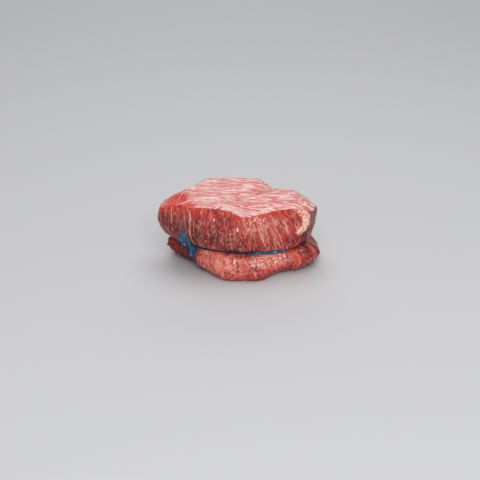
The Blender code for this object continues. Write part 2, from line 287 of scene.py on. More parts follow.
# Marbling that shows as single streaks at the front: (angle and height of its upper end,
# angle and height of its lower end, half width, strength).
FRONT_STREAKS = (
    (222.6, 37.2, 222.4, 30.0, 0.5, 0.94),
    (222.4, 31.0, 222.0, 19.0, 0.3, 0.8),
    (201.0, 36.5, 202.0, 27.8, 0.32, 0.9),
    (195.0, 35.0, 196.0, 28.5, 0.25, 0.7),
    (206.5, 35.0, 206.5, 26.0, 0.15, 0.4),
    (231.0, 34.0, 231.5, 25.0, 0.15, 0.45),
    (236.5, 33.0, 237.5, 23.0, 0.15, 0.4),
    (243.5, 31.0, 245.0, 20.0, 0.15, 0.45),
    (254.0, 33.0, 258.0, 27.0, 0.2, 0.5),
    (266.5, 36.0, 272.5, 31.5, 0.22, 0.6),
    (274.0, 33.6, 284.0, 25.6, 0.28, 0.75),
    (283.0, 27.5, 288.0, 22.6, 0.25, 0.7),
    (287.0, 31.0, 291.5, 26.0, 0.2, 0.6),
    (292.0, 29.5, 300.5, 17.0, 0.42, 0.9),
    (298.5, 30.5, 302.0, 23.5, 0.34, 0.85),
    (302.0, 25.0, 305.0, 17.5, 0.26, 0.6),
    (306.5, 35.5, 312.0, 28.0, 0.36, 0.95),
    (312.0, 28.0, 319.0, 19.0, 0.26, 0.85),
    (310.0, 24.0, 312.0, 15.5, 0.26, 0.65),
    (314.0, 31.0, 319.0, 26.0, 0.24, 0.6),
    (318.5, 32.5, 324.5, 22.5, 0.4, 0.9),
    (315.5, 20.0, 317.0, 14.8, 0.26, 0.6),
    (298.0, 13.0, 305.0, 6.5, 0.34, 0.85),
    (309.0, 13.0, 316.0, 7.0, 0.28, 0.75),
    (320.0, 11.5, 325.0, 6.5, 0.22, 0.6),
    (240.0, 12.5, 241.0, 6.0, 0.26, 0.6),
    (251.0, 12.5, 252.0, 5.5, 0.24, 0.6),
    (246.0, 12.0, 247.0, 7.0, 0.4, 0.5),
    (258.0, 12.0, 259.0, 5.0, 0.22, 0.5),
    (331.5, 12.5, 331.0, 5.0, 0.2, 0.6),
)
# Short pale flecks, partly pale fat and partly painted glints, since they take the glint colour: (angle,
# height, radius).
FLECKS = (
    (243.0, 33.1, 0.5),
    (230.3, 32.3, 0.3),
    (268.8, 29.3, 0.62),
    (261.4, 26.3, 0.4),
    (265.6, 10.7, 0.66),
    (286.0, 8.8, 0.4),
    (290.5, 9.0, 0.35),
    (294.0, 31.5, 0.3),
)
FLECK_STRETCH = 0.6
# Scattered streaks on the walls: how many, and the share of them on the upper lobe. For each
# lobe, the lowest and highest upper end, and the least and greatest length.
RANDOM_STREAKS = 230
UPPER_SHARE = 0.65
UPPER_STREAKS = (20.0, 36.5, 2.5, 10.0)
LOWER_STREAKS = (7.0, 13.0, 2.0, 5.5)
# Pale strokes on the upper cut face, painted in the glint colour as sheen: (x and y of one end, x and y of
# the other, half width, strength).
FACE_STREAKS = (
    (-32.0, -3.0, -27.5, 8.0, 0.5, 0.9),
    (-27.5, 8.0, -21.0, 12.5, 0.5, 0.94),
    (-33.5, -13.0, -22.0, -15.0, 0.5, 0.8),
    (-5.0, -20.5, 6.0, -31.5, 0.4, 0.9),
    (-8.5, -20.0, 1.0, -29.5, 0.3, 0.8),
    (-1.0, -19.5, 10.5, -30.5, 0.35, 0.85),
    (3.0, -18.5, 14.0, -29.0, 0.3, 0.7),
    (8.0, -19.5, 22.0, -17.0, 0.4, 0.7),
    (-14.0, 18.0, 6.0, 19.5, 0.4, 0.8),
    (-20.0, 3.0, -4.0, 1.0, 0.5, 0.8),
    (-2.0, 7.0, 11.0, 8.5, 0.4, 0.8),
)
# Scattered strokes of painted sheen on the cut face: how many, and where they start in x and y.
RANDOM_FACE_STREAKS = 90
FACE_X = (-40.0, 34.0)
FACE_Y = (-30.0, 27.0)
# The front, where the scattered streaks are finer and fainter, and how far a streak's edge
# reaches.
FRONT_SPAN = (188.0, 330.0)
FRONT_FINER = 0.75
FRONT_FAINTER = 0.7
STREAK_REACH = 1.2

# The cream fat patch at the front right, as a chain of round spots: (angle, height, radius).
FAT_SPOTS = (
    (327.4, 36.2, 0.6),
    (330.6, 35.4, 1.3),
    (333.8, 33.6, 2.0),
    (335.6, 31.0, 2.3),
    (335.2, 28.2, 2.1),
    (333.2, 25.8, 1.9),
    (330.8, 24.0, 1.6),
)
# Silverskin: middle angle, half width in degrees, middle height, half height.
SKIN = (347.0, 7.0, 31.5, 8.0)
EDGE_SPREAD = 4.0
# The rim's height is taken at steps of so many degrees.
RIM_BIN = 2.0
# Slanted wet glints on both lobes, painted into the colour as highlights: (middle x, half width, middle
# height, half height, strength).
PAINTED_GLINT_ZONES = (
    (9.0, 9.0, 31.0, 6.0, 1.0),
    (15.0, 16.0, 10.5, 5.0, 1.4),
)
# Curled membranes at the middle of the front: angle, half width, height and half height on
# the upper lobe, and angle and half width on the lower one, each with its strength.
UPPER_WHORL = (256.0, 34.0, 25.0, 12.0)
UPPER_WHORL_STRENGTH = 0.6
LOWER_WHORL = (250.0, 44.0)
LOWER_WHORL_STRENGTH = 1.2

# Paler (positive) and darker zones on the walls, partly the muscle's own tone and partly painted light and
# shade: paler where the front right and the lower lobe face the light, and darker on the undercut front
# left, along the upper lobe over the string, in the crease between the lobes at the right end and in the
# hollow under the lower lobe's left end. Each is (angle, half width in degrees, height, half height,
# amount). Then zones of wet red muscle with the same layout.
WALL_TONE_LIGHT_AND_SHADE = (
    (205.0, 40.0, 36.5, 6.0, 0.5),
    (212.0, 50.0, 24.0, 10.0, -0.8),
    (252.0, 34.0, 21.0, 7.0, -0.5),
    (276.0, 26.0, 32.0, 8.0, 0.8),
    (308.0, 34.0, 27.0, 12.0, 0.98),
    (240.0, 32.0, 9.0, 11.0, 1.4),
    (247.0, 8.0, 10.5, 7.0, 0.9),
    (270.0, 30.0, 9.0, 10.0, 0.9),
    (305.0, 28.0, 10.0, 8.0, 1.9),
    (288.0, 5.0, 7.5, 2.6, -3.0),
    (342.0, 14.0, 8.0, 9.0, -0.1),
    (344.0, 15.0, 20.0, 7.0, -4.4),
    (203.0, 22.0, 8.0, 9.0, -1.0),
)
RED_ZONES = (
    (195.0, 50.0, 38.5, 9.0, 1.3),
    (245.0, 30.0, 36.5, 3.6, 0.5),
    (285.0, 36.0, 34.5, 3.6, 0.7),
    (316.0, 18.0, 36.0, 4.0, 0.8),
    (330.5, 5.0, 9.0, 9.0, 1.3),
    (354.0, 8.0, 22.0, 7.0, 0.7),
    (300.0, 50.0, 6.0, 5.0, 0.4),
)
# Paler (positive) and redder patches on the upper cut face: (x, y, half width, half depth, amount).
FACE_PATCHES = (
    (-6.0, 10.6, 6.0, 1.8, -1.6),
    (4.5, 16.4, 7.0, 2.4, -1.0),
    (15.0, 14.0, 3.0, 8.0, -0.8),
    (-16.0, 19.0, 7.0, 2.2, -0.7),
    (15.5, 5.0, 4.0, 2.5, -0.9),
    (-4.8, -14.6, 8.5, 1.2, -1.2),
    (7.5, -13.0, 7.0, 1.2, -1.2),
    (24.5, -10.0, 11.0, 3.4, -0.9),
    (30.6, 0.0, 6.0, 3.0, -0.7),
    (-29.4, -11.8, 6.0, 2.2, -0.8),
    (-38.5, -6.0, 11.0, 22.0, -3.4),
    (-5.0, -20.0, 10.0, 2.2, 1.0),
    (18.0, -20.0, 13.0, 4.0, 0.6),
    (-27.0, 7.0, 3.0, 8.0, 0.5),
    (-17.7, -8.7, 6.0, 3.0, 0.9),
    (26.0, 6.0, 8.0, 3.5, 0.7),
)

# How much darker the crease over the string, the torn end and the seam are, as painted shade in these
# hollows, and how far the crease's painted shade reaches.
CREASE_SHADE = 0.6
CREASE_REACH = 5.0
TORN_SHADE = 4.0
SEAM_SHADE = 0.4
# Wet red at the torn end, and in bands under the cut face's rim: how far below it in mm, half
# height and strength.
TORN_RED = 0.45
RIM_BANDS = ((0.9, 1.6, 1.0), (2.2, 2.6, 0.5))

# Finishes that stay as they are: the painted highlight colour of wet glints and sheen, the silverskin's pale
# lines of painted sheen, and the fat patch.
PAINTED_GLINT = display(250, 222, 214)
SKIN_SHEEN = display(176, 146, 152)
FAT_SHADE = display(246, 146, 114)
FAT_LIGHT = display(255, 226, 208)
# Each noise in the finish: bumps a millimetre, detail and roughness.
NOISES = {
    "ragged": (1.1, 3.0, 0.6),
    "patches": (0.16, 2.0, 0.5),
    "mottle": (0.62, 2.0, 0.6),
    "blush": (0.42, 2.0, 0.5),
    "gate": (0.33, 1.0, 0.5),
    "dashes": (0.8, 2.0, 0.5),
    "glints": (1.35, 2.0, 0.5),
    "cut patches": (0.24, 2.0, 0.5),
    "sheen": (1.2, 2.0, 0.5),
    "gloss": (0.9, 2.0, 0.5),
}
# Each set of thin lines: bumps a millimetre of the noise they follow, how many lines there
# are for its whole range, detail and distortion.
LINES = {
    "gaps": (0.4, 5.0, 1.0, 0.1),
    "long": (0.36, 8.0, 1.0, 0.1),
    "curls": (0.24, 10.0, 2.0, 0.4),
    "cut": (0.22, 7.0, 2.0, 0.4),
}
# Fibres a millimetre on the walls and on the cut faces.
WALL_FIBRES = 0.95
CUT_FIBRES = 0.75
# Membranes and threads fade out between these two tones, where the walls are dark.
MEMBRANE_TONES = (-1.6, -0.2)
# The painted wet glints lean by so many degrees, and are drawn out by so much.
GLINT_LEAN = 42.0
GLINT_STRETCH = 4.5
# How much each pattern moves the level that picks the muscle's colour, from a base level.
WALL_LEVEL = {"base": -1.36, "fibres": 2.0, "mottle": 0.6, "patches": 0.7, "zones": 0.45}
CUT_LEVEL = {"base": -3.24, "fibres": 6.0, "mottle": 0.6, "patches": 0.6, "zones": 0.42}
# The mottle's share in the curled membranes, from its own base level.
RIPPLES = 1.8
RIPPLES_BASE = -0.86
# How strongly each finish covers what is under it.
COVER = {
    "blush": 0.3,
    "wet red": 0.85,
    "gaps": 0.4,
    "lines": 0.75,
    "threads": 0.5,
    "glints": 0.65,
    "cut threads": 0.6,
    "cut lines": 0.75,
    "streaks": 0.9,
    "skin lines": 0.5,
    "skin": 0.75,
    "rind": 0.75,
    "fat": 0.95,
}
# Height of each pattern in the fine bump, in mm.
BUMP = {
    "fibres": 0.55,
    "mottle": 0.45,
    "lines": 0.06,
    "cut fibres": 1.5,
    "cut mottle": 0.3,
    "streaks": 0.08,
}


class MeatSettings(bpy.types.PropertyGroup):
    """The meat's relief and colours"""

    fibre_relief: bpy.props.FloatProperty(
        name="Fibre relief",
        description="Height of the bundles on the walls, in mm",
        default=0.26,
        min=0.0,
    )
    stroke_relief: bpy.props.FloatProperty(
        name="Stroke relief",
        description="Height of the knife's strokes on the cut face, in mm",
        default=0.22,
        min=0.0,
    )
    deep: colour_setting("Deep lean", "Muscle in the walls' hollows", display(86, 8, 14))
    dark: colour_setting("Dark lean", "Muscle between the walls' bundles", display(150, 34, 38))
    lean: colour_setting("Lean", "Muscle on the walls", display(194, 66, 60))
    pale: colour_setting("Pale lean", "Muscle on the walls' crests", display(230, 122, 106))
    membrane: colour_setting("Membranes", "Fine pale lines and threads on the walls", display(242, 164, 144))
    raw_red: colour_setting("Raw red", "Freshly cut, torn and wet edges", display(216, 62, 44))
    cut_red: colour_setting("Red strokes", "Red strokes on the cut faces", display(204, 74, 62))
    cut_lean: colour_setting("Cut face", "Muscle on the cut faces", display(214, 108, 98))
    # The cut faces' pale strokes are partly the muscle's own paler colour and partly painted sheen.
    cut_pale_and_sheen: colour_setting("Pale strokes", "Pale strokes on the cut faces", display(229, 182, 179))
    fat: colour_setting("Fat", "Marbling and the fat patch", display(232, 184, 164))
    skin: colour_setting("Silverskin", "The thin membrane at the right-hand end", display(122, 80, 88))


def wall_coordinates(at):
    """Places with the fibres stood upright, and away from the front drawn to the string's line
    so that the fibres run straight down."""
    lean = STREAK_LEAN * smooth((turn_apart(at.angles, 270.0) + 270.0 - LEAN_FROM) / LEAN_RUN)
    lean = lean * smooth((LEAN_REACH - np.abs(turn_apart(at.angles, LEAN_MIDDLE))) / LEAN_FADE)
    turns = np.radians(at.angles)
    moved = at.places.copy()
    shift = lean * (at.heights - WAIST_HEIGHT)
    moved[:, 0] += -np.sin(turns) * shift
    moved[:, 1] += np.cos(turns) * shift
    away = smooth((np.abs(turn_apart(at.angles, FRONT_MIDDLE)) - FRONT_REACH) / FRONT_FADE)
    moved[:, :2] += at.outward * (away * (at.loop / at.reaches - 1.0))[:, None]
    return moved


def behind_seam(places):
    """How far a place on the cut face lies behind the crease between the two muscles."""
    x = places[:, 0] - AXIS.x
    y = places[:, 1] - AXIS.y
    run = SEAM_END_X - SEAM_START_X
    rise = SEAM_BACK_Y - SEAM_FRONT_Y
    share = np.clip((x - SEAM_START_X) / run, 0.0, 1.3)
    slope = 2.0 * rise * share / run
    return (y - SEAM_FRONT_Y - rise * share * share) / np.sqrt(1.0 + slope * slope)


def below_rim(angles, heights, wall):
    """How far below the cut face's rim each place lies, in mm."""
    bins = (angles / RIM_BIN).astype(int)
    tops = np.zeros(int(360.0 / RIM_BIN) + 1)
    np.maximum.at(tops, bins, np.where(wall > 0.5, heights, 0.0))
    return tops[bins] - heights


def cut_coordinates(places):
    """Across and along the strokes of the cut face: near straight on the main muscle, and
    fanned out on the smaller one."""
    x, y = places[:, 0], places[:, 1]
    centre_x, centre_y = FAN_CENTRE
    main_across = y + STROKE_SLOPE * x + STROKE_BEND * x * x
    fan_across = FAN_WIDTH * np.arctan2(y - centre_y, np.maximum(x - centre_x, 2.0)) - FAN_SHIFT
    side = 1.0 - smooth(behind_seam(places) / FAN_BLEND + 0.5)
    side = side * smooth((x - FAN_FROM_X) / FAN_RUN)
    across = main_across * (1.0 - side) + fan_across * side
    return np.stack([across, x + 0.3 * y, np.zeros(len(x))], 1)


def line_field(across, up, run, rise, half_width):
    """0.5 on the edge of a tapered line from (0, 0) to (run, rise), and more inside it."""
    share = np.clip((across * run + up * rise) / (run * run + rise * rise), 0.0, 1.0)
    away = np.hypot(across - share * run, up - share * rise)
    taper = 0.35 + 0.65 * np.sin(np.pi * np.clip(share, 0.04, 0.96))
    return np.clip(0.5 + (half_width * taper - away) / STREAK_REACH, 0.0, 1.0)


def strongest(fields, strengths):
    """The highest of several fields at each place, and that one's strength."""
    fields = np.array(fields)
    best = np.argmax(fields, axis=0)
    return np.max(fields, axis=0), np.array(strengths)[best]


def scattered_streaks():
    """Marbling streaks on the walls by a seeded rule, laid out as the placed ones are."""
    draw = random.Random(SEED)
    streaks = []
    for _ in range(RANDOM_STREAKS):
        angle = draw.uniform(0.0, 360.0)
        on_upper = draw.random() < UPPER_SHARE
        lowest, highest, least, greatest = UPPER_STREAKS if on_upper else LOWER_STREAKS
        top = draw.uniform(lowest, highest)
        length = draw.uniform(least, greatest)
        lean = draw.uniform(-1.5, 5.0)
        half_width = draw.uniform(0.08, 0.24)
        strength = draw.uniform(0.3, 0.8)
        if FRONT_SPAN[0] < angle < FRONT_SPAN[1]:
            half_width *= FRONT_FINER
            strength *= FRONT_FAINTER
        streaks.append((angle, top, angle + lean, top - length, half_width, strength))
    return streaks


def wall_streaks(angles, heights, reaches):
    """Two values a place for the marbling streaks: 0.5 on a streak's edge and more inside it,
    and how strongly the nearest streak shows."""
    streaks = [*FRONT_STREAKS, *scattered_streaks()]
    middle_reach = float(np.median(reaches))
    wobble = 0.18 * np.sin(0.9 * heights + 0.11 * angles)
    wobble += 0.1 * np.sin(2.3 * heights + 0.5 * angles)
    fields = []
    strengths = []
    for angle, top, low_angle, low, half_width, strength in streaks:
        across = np.radians(turn_apart(angles, angle)) * reaches + wobble
        run = math.radians(low_angle - angle) * middle_reach
        fields.append(line_field(across, heights - top, run, low - top, half_width))
        strengths.append(strength)
    for angle, height, radius in FLECKS:
        across = np.radians(turn_apart(angles, angle)) * reaches
        away = np.hypot(across, FLECK_STRETCH * (heights - height))
        fields.append(np.clip(0.5 + (radius - away) / STREAK_REACH, 0.0, 1.0))
        strengths.append(1.0)
    return strongest(fields, strengths)


def scattered_strokes():
    """Pale strokes of painted sheen on the cut face by a seeded rule, fanned out on the smaller muscle."""
    draw = random.Random(SEED + 1)
    streaks = []
    for _ in range(RANDOM_FACE_STREAKS):
        x = draw.uniform(*FACE_X)
        y = draw.uniform(*FACE_Y)
        turn = draw.uniform(-0.16, 0.12)
        if x > 0.0:
            turn += 0.6 * math.atan2(y + 8.0, x + 16.0)
        length = draw.uniform(5.0, 13.0)
        half_width = draw.uniform(0.1, 0.35)
        strength = draw.uniform(0.3, 0.8)
        end_x = x + length * math.cos(turn)
        end_y = y + length * math.sin(turn)
        streaks.append((x, y, end_x, end_y, half_width, strength))
    return streaks


def face_streaks(places):
    """The same two values for the pale strokes of painted sheen on the upper cut face."""
    streaks = [*FACE_STREAKS, *scattered_strokes()]
    x, y = places[:, 0], places[:, 1]
    wobble = 0.5 * np.sin(0.45 * x + 0.2 * y) + 0.2 * np.sin(1.3 * x)
    fields = []
    strengths = []
    for start_x, start_y, end_x, end_y, half_width, strength in streaks:
        up = y - start_y + wobble
        fields.append(line_field(x - start_x, up, end_x - start_x, end_y - start_y, half_width))
        strengths.append(strength)
    return strongest(fields, strengths)


def chain_field(angles, heights, reaches, spots):
    """0.5 on the edge of a chain of round spots, more inside and less outside."""
    nearest = np.full(len(angles), 99.0)
    for angle, height, radius in spots:
        across = np.radians(turn_apart(angles, angle)) * reaches
        nearest = np.minimum(nearest, np.hypot(across, heights - height) - radius)
    return np.clip(0.5 - nearest / EDGE_SPREAD, 0.0, 1.0)


def skin_field(angles, heights):
    """0.5 on the edge of the silverskin, more inside and less outside."""
    angle, half_angle, height, half_height = SKIN
    across = np.abs(turn_apart(angles, angle)) / half_angle
    up = np.abs(heights - height) / half_height
    return np.clip(1.5 - np.cbrt(across**3.0 + up**3.0), 0.0, 1.0)


def keep_field(mesh, name, values, kind="FLOAT"):
    """Stores one value a vertex under a name that the material reads."""
    field = mesh.attributes.new(name, kind, "POINT")
    key = "vector" if kind == "FLOAT_VECTOR" else "value"
    field.data.foreach_set(key, np.asarray(values, dtype=np.float32).ravel())


def zone_field(angles, heights, zones):
    """The sum of soft oval zones on the walls, each with its own amount."""
    field = np.zeros(len(angles))
    for angle, half_angle, height, half_height, amount in zones:
        across = turn_apart(angles, angle) / half_angle
        up = (heights - height) / half_height
        field += amount * smooth(1.3 * (1.0 - np.hypot(across, up)))
    return field


def patch_field(places, patches):
    """The sum of soft oval patches on the upper cut face, each with its own amount."""
    field = np.zeros(len(places))
    for x, y, half_width, half_depth, amount in patches:
        away = np.hypot((places[:, 0] - x) / half_width, (places[:, 1] - y) / half_depth)
        field += amount * smooth(1.4 * (1.0 - 0.75 * away))
    return field


def spread(mesh, values, rounds):
    """Rows of values, each averaged with its neighbouring vertices' so many times over."""
    edges = np.zeros(len(mesh.edges) * 2, np.int32)
    mesh.edges.foreach_get("vertices", edges)
    first, second = edges.reshape(-1, 2).T
    links = np.bincount(edges, minlength=len(values))
    for _ in range(rounds):
        for column in values.T:
            near = np.bincount(first, column[second], len(column))
            near += np.bincount(second, column[first], len(column))
            column[:] = 0.5 * (column + near / links)
    return values


def measure_meat(mesh):
    """Each vertex's place in mm and its direction, where it lies round the steak, and how far
    it belongs to the wall, the upper cut face and the foot."""
    flat = np.zeros(len(mesh.vertices) * 3, np.float32)
    mesh.vertices.foreach_get("co", flat)
    at = SimpleNamespace(places=flat.reshape(-1, 3).astype(float) / MM)
    mesh.vertex_normals.foreach_get("vector", flat)
    normals = spread(mesh, flat.reshape(-1, 3).astype(float), NORMAL_ROUNDS)
    at.normals = normals / np.linalg.norm(normals, axis=1)[:, None]
    at.outward = at.places[:, :2] - np.array(AXIS.xy)
    at.angles = np.degrees(np.arctan2(at.outward[:, 1], at.outward[:, 0])) % 360.0
    at.reaches = np.hypot(at.outward[:, 0], at.outward[:, 1])
    at.heights = at.places[:, 2]
    table = np.arange(0.0, 361.0)
    at.loop = np.interp(at.angles, table, [loop_reach(angle) for angle in table])
    waist = waist_height(at.angles)
    at.from_string = np.hypot(at.reaches - at.loop, at.heights - waist)
    at.upper = (at.heights > waist).astype(float)
    at.cut = smooth((at.normals[:, 2] - FLAT_FROM) / FLAT_RUN)
    at.cut = at.cut * smooth((at.heights - CUT_FROM_HEIGHT) / 3.0)
    at.foot = smooth((-at.normals[:, 2] - FLAT_FROM) / FLAT_RUN) * smooth(2.0 - at.heights)
    at.wall = 1.0 - np.maximum(at.cut, at.foot)
    angle, half_angle = TORN_END
    at.torn = bump_at(turn_apart(at.angles, angle), 0.0, half_angle) * (1.0 - at.upper)
    at.upright = wall_coordinates(at)
    at.strokes = cut_coordinates(at.places)
    behind = behind_seam(at.places)
    in_seam = np.exp(-((behind / SEAM_CREASE_WIDTH) ** 2))
    in_seam = in_seam * smooth((at.places[:, 0] - SEAM_CREASE_FROM) / 8.0)
    at.in_seam = in_seam * smooth((SEAM_CREASE_TO - at.places[:, 0]) / 4.0)
    return at


def roughness_of(name, places):
    """One kind of relief from the table."""
    height, pitch, stretch, offset = RELIEF[name]
    return height * grain(places, pitch, stretch, offset)


def wall_relief(at, look):
    """How far the walls stand out, in mm: fibres, folds, streaks, fat, tears and the flap."""
    plain = 1.0 - smooth((np.maximum(at.fat, at.skin) - 0.4) / 0.2)
    fibres = roughness_of("bundles", at.upright) + roughness_of("threads", at.upright) * plain
    relief = look.fibre_relief * fibres + roughness_of("crumple", at.places)
    relief += (1.0 - at.upper) * roughness_of("folds", at.upright)
    streaks = STREAK_RELIEF * np.clip(at.streaks - 0.4, 0.0, 1.0)
    relief += streaks + FAT_RELIEF * smooth((at.fat - 0.42) / 0.2)
    relief += at.torn * (roughness_of("tears", at.places) + roughness_of("small tears", at.places))
    near_rim = smooth((at.heights - NICKS_FROM) / 5.0)
    relief += near_rim * roughness_of("nicks", at.places)
    angle, half_angle, height, half_height = FLAP
    across = bump_at(turn_apart(at.angles, angle), 0.0, half_angle)
    relief += across * bump_at(at.heights, height, half_height)
    free_of_string = smooth((at.from_string - STRING_MARGIN) / STRING_FADE)
    free_of_foot = smooth(at.heights / FOOT_FADE)
    return relief * free_of_string * free_of_foot


def cut_relief(at, look):
    """How far the upper cut face stands out, in mm: the knife's strokes and the crease."""
    strokes = roughness_of("strokes", at.strokes) + roughness_of("fine strokes", at.strokes)
    return look.stroke_relief * strokes + roughness_of("pits", at.places) - SEAM_CREASE * at.in_seam


def red_field(at):
    """Where the meat is wet and red: its own zones, the torn end and the cut face's rim."""
    torn_end = at.torn * smooth((TORN_FROM_X - at.places[:, 0]) / 3.0)
    red = np.maximum(zone_field(at.angles, at.heights, RED_ZONES), TORN_RED * torn_end)
    below = below_rim(at.angles, at.heights, at.wall)
    rim_red = sum(strength * bump_at(below, depth, half) for depth, half, strength in RIM_BANDS)
    red = np.maximum(red, rim_red * smooth(0.9 + roughness_of("wet spots", at.places)))
    left_end = smooth((at.reaches - 25.0) / 8.0) * (at.places[:, 0] < 0.0)
    return np.clip(np.where(at.cut > 0.5, red * left_end, red), 0.0, 1.0)


def painted_glint_field(at):
    """How strongly the slanted painted glints show, on the front walls alone."""
    field = np.zeros(len(at.places))
    for x, half_width, height, half_height, strength in PAINTED_GLINT_ZONES:
        zone = bump_at(at.places[:, 0], x, half_width) * bump_at(at.heights, height, half_height)
        field = np.maximum(field, strength * smooth(2.0 * zone))
    return field * (at.places[:, 1] < 0.0) * at.wall


def whorl_field(at):
    """How strongly the curled membranes show."""
    angle, half_angle, height, half_height = UPPER_WHORL
    upper = bump_at(turn_apart(at.angles, angle), 0.0, half_angle) * at.upper
    upper = smooth(1.5 * upper * bump_at(at.heights, height, half_height))
    angle, half_angle = LOWER_WHORL
    lower = bump_at(turn_apart(at.angles, angle), 0.0, half_angle) * (1.0 - at.upper)
    return np.maximum(UPPER_WHORL_STRENGTH * upper, LOWER_WHORL_STRENGTH * smooth(1.5 * lower))


def keep_fields(mesh, at):
    """Keeps the fields that the finish follows."""
    on_cut = at.cut > 0.5
    crease = smooth(1.0 - at.from_string / CREASE_REACH) * at.upper
    # The walls' tone holds painted light and shade: the zones above, and painted shade in the crease over
    # the string and at the torn end under the upper lobe's overhang.
    tone = zone_field(at.angles, at.heights, WALL_TONE_LIGHT_AND_SHADE)
    tone = tone - CREASE_SHADE * crease - TORN_SHADE * at.torn
    face_tone = patch_field(at.places, FACE_PATCHES) - SEAM_SHADE * at.in_seam
    cut = spread(mesh, np.maximum(at.cut, at.foot)[:, None], CUT_ROUNDS)
    stretched = np.array([1.0, 1.0, GRAIN_STRETCH])
    keep_field(mesh, "cut", cut)
    keep_field(mesh, "streak", np.where(on_cut, at.face_streaks, at.streaks))
    keep_field(mesh, "streak_strength", np.where(on_cut, at.face_strength, at.strength))
    keep_field(mesh, "fat", at.fat * at.wall)
    keep_field(mesh, "silverskin", at.skin * np.minimum(1.0, at.wall + 0.3))
    keep_field(mesh, "tone", np.where(on_cut, 0.0, tone))
    keep_field(mesh, "red", red_field(at))
    keep_field(mesh, "face_tone", face_tone)
    keep_field(mesh, "hatch", painted_glint_field(at))
    keep_field(mesh, "whorl", whorl_field(at))
    keep_field(mesh, "upright", at.upright * stretched, "FLOAT_VECTOR")
    keep_field(mesh, "strokes", at.strokes * np.array([1.0, STROKE_STRETCH, 1.0]), "FLOAT_VECTOR")


def sculpt_meat(obj, look):
    """Moves the meat's surface by its relief, and keeps the fields that its finish follows."""
    mesh = obj.data
    at = measure_meat(mesh)
    at.streaks, at.strength = wall_streaks(at.angles, at.heights, at.reaches)
    at.face_streaks, at.face_strength = face_streaks(at.places)
    at.fat = chain_field(at.angles, at.heights, at.reaches, FAT_SPOTS)
    at.skin = skin_field(at.angles, at.heights)
    relief = at.wall * wall_relief(at, look) + at.cut * cut_relief(at, look)
    on_rim = 4.0 * at.cut * (1.0 - at.cut)
    relief += on_rim * roughness_of("rim", at.places)
    at.places += at.normals * relief[:, None]
    at.places[:, 2] = np.maximum(at.places[:, 2], 0.0)
    mesh.vertices.foreach_set("co", (at.places * MM).astype(np.float32).ravel())
    mesh.update()
    keep_fields(mesh, at)


def meat_object(look):
    """The CAD meat, remeshed finely enough to carry its relief."""
    mesh = frame["nodes"]["steak"].data.copy()
    mesh.materials.clear()
    meat = bpy.data.objects.new("meat", mesh)
    bpy.context.scene.collection.objects.link(meat)
    make_active(meat)
    bpy.ops.object.mode_set(mode="EDIT")
    bpy.ops.mesh.select_all(action="SELECT")
    bpy.ops.mesh.remove_doubles(threshold=0.01 * MM)
    bpy.ops.object.mode_set(mode="OBJECT")
    remesh = meat.modifiers.new("even", "REMESH")
    remesh.mode = "VOXEL"
    remesh.voxel_size = VOXEL * MM
    bpy.ops.object.modifier_apply(modifier="even")
    soften = meat.modifiers.new("soften", "SMOOTH")
    soften.factor = 0.5
    soften.iterations = SMOOTH_STEPS
    bpy.ops.object.modifier_apply(modifier="soften")
    sculpt_meat(meat, look)
    bpy.ops.object.shade_smooth()
    return meat


# Shader helpers


def put(tree, kind, **values):
    """Adds a node and sets the sockets and settings that are named."""
    node = tree.nodes.new(kind)
    count = len(tree.nodes)
    node.location = (220 * (count // 5), -260 * (count % 5))
    for key, value in values.items():
        if hasattr(node, key):
            setattr(node, key, value)
        else:
            node.inputs[key.replace("_", " ").title()].default_value = value
    return node


def feed(tree, socket, value):
    """Links a socket, or sets its plain value."""
    if isinstance(value, bpy.types.NodeSocket):
        tree.links.new(value, socket)
    else:
        socket.default_value = value


def field(tree, name, output="Fac"):
    """A field that the mesh holds."""
    return put(tree, "ShaderNodeAttribute", attribute_name=name).outputs[output]


def maths(tree, operation, first, second=0.0, third=0.0):
    """One operation on values or sockets."""
    node = put(tree, "ShaderNodeMath", operation=operation)
    for socket, value in zip(node.inputs, (first, second, third)):
        feed(tree, socket, value)
    return node.outputs["Value"]


def step_up(tree, value, low, high, top=1.0):
    """0 below low, top above high, smooth between."""
    node = put(tree, "ShaderNodeMapRange", interpolation_type="SMOOTHSTEP")
    feed(tree, node.inputs["Value"], value)
    node.inputs["From Min"].default_value = low
    node.inputs["From Max"].default_value = high
    node.inputs["To Max"].default_value = top
    return node.outputs["Result"]


def clouds(tree, vector, scale, detail=2.0, roughness=0.5, distortion=0.0):
    """Noise at so many bumps a millimetre of its vector."""
    node = put(tree, "ShaderNodeTexNoise")
    feed(tree, node.inputs["Vector"], vector)
    node.inputs["Scale"].default_value = scale
    node.inputs["Detail"].default_value = detail
    node.inputs["Roughness"].default_value = roughness
    node.inputs["Distortion"].default_value = distortion
    return node.outputs["Fac"]


def named_noise(tree, name, vector):
    """One noise from the meat's table."""
    return clouds(tree, vector, *NOISES[name])


def scaled(tree, vector, scale):
    """A vector with each of its parts scaled."""
    node = put(tree, "ShaderNodeVectorMath", operation="MULTIPLY")
    feed(tree, node.inputs[0], vector)
    node.inputs[1].default_value = scale
    return node.outputs["Vector"]


def ramp(tree, value, stops):
    """A colour for each level of a value, from (level, colour) stops."""
    node = put(tree, "ShaderNodeValToRGB")
    feed(tree, node.inputs["Fac"], value)
    elements = node.color_ramp.elements
    while len(elements) < len(stops):
        elements.new(0.5)
    for k, (level, colour) in enumerate(stops):
        elements[k].position = level
        elements[k].color = tuple(colour)
    return node.outputs["Color"]


def contour_lines(tree, vector, scale, count, detail=2.0, distortion=0.4):
    """Thin lines that follow the contours of noise, so many for its whole range."""
    height = clouds(tree, vector, scale, detail, 0.5, distortion)
    saw = maths(tree, "PINGPONG", maths(tree, "MULTIPLY", height, count), 0.5)
    return maths(tree, "SUBTRACT", 1.0, step_up(tree, saw, 0.03, 0.2))


